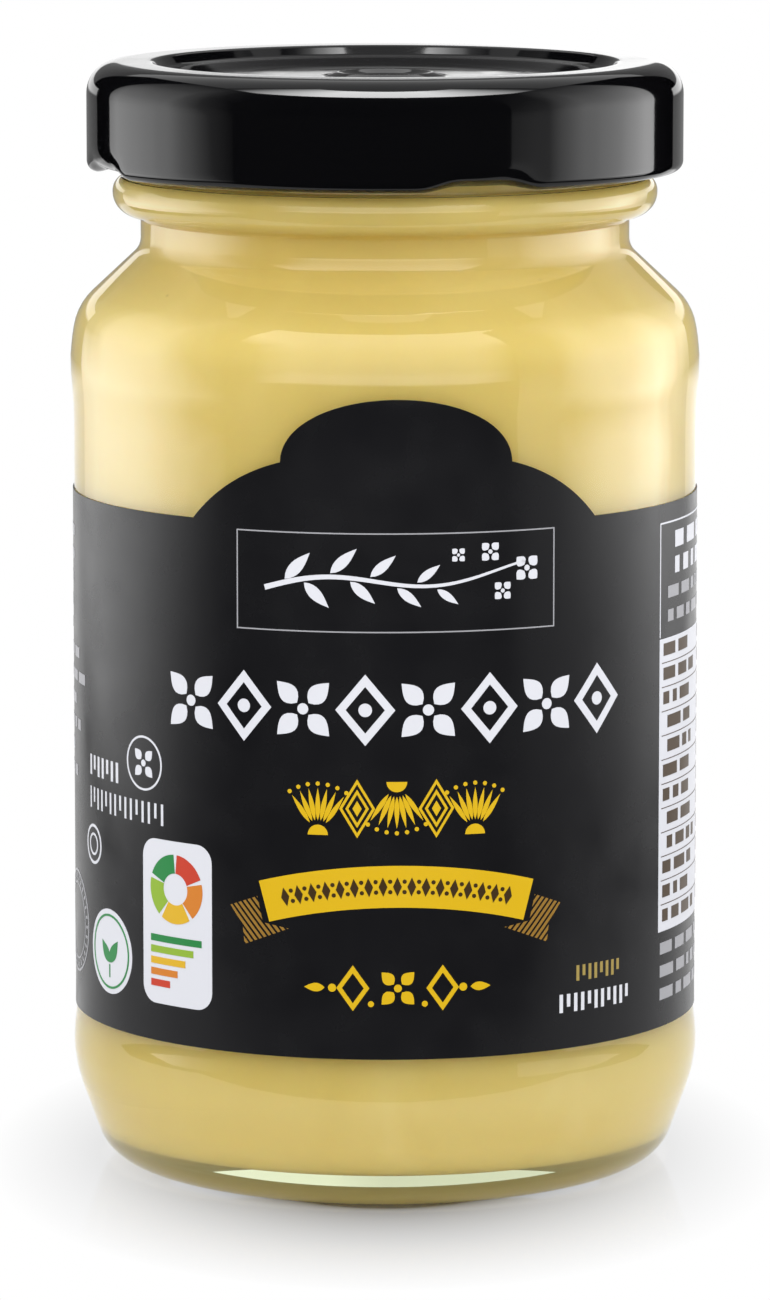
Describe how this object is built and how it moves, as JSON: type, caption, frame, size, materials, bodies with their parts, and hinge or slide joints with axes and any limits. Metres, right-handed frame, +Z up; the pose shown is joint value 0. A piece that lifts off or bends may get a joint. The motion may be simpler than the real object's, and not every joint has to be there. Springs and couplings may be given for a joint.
{
  "type": "mustard jar",
  "caption": "Shut round glass jar of mustard with a black twist-off lid and a black wrap label; it stands upright on its base ring.",
  "frame": {"origin": "middle of the base, on the surface the jar stands on", "axes": "+Z up along the jar's axis, -Y towards the front of the label, +X to the right seen from the front"},
  "size_m": [0.059, 0.059, 0.1034],
  "materials": {
    "clear_glass": "clear moulded flint glass, glossy",
    "mustard": "smooth pale mustard paste",
    "black_enamel": "glossy black enamel on tinplate",
    "black_label": "satin black printed film label with coloured print"
  },
  "bodies": {
    "root": {"jar": "clear_glass", "mustard": "mustard", "lid": "black_enamel", "label": "black_label"}
  },
  "joints": []
}
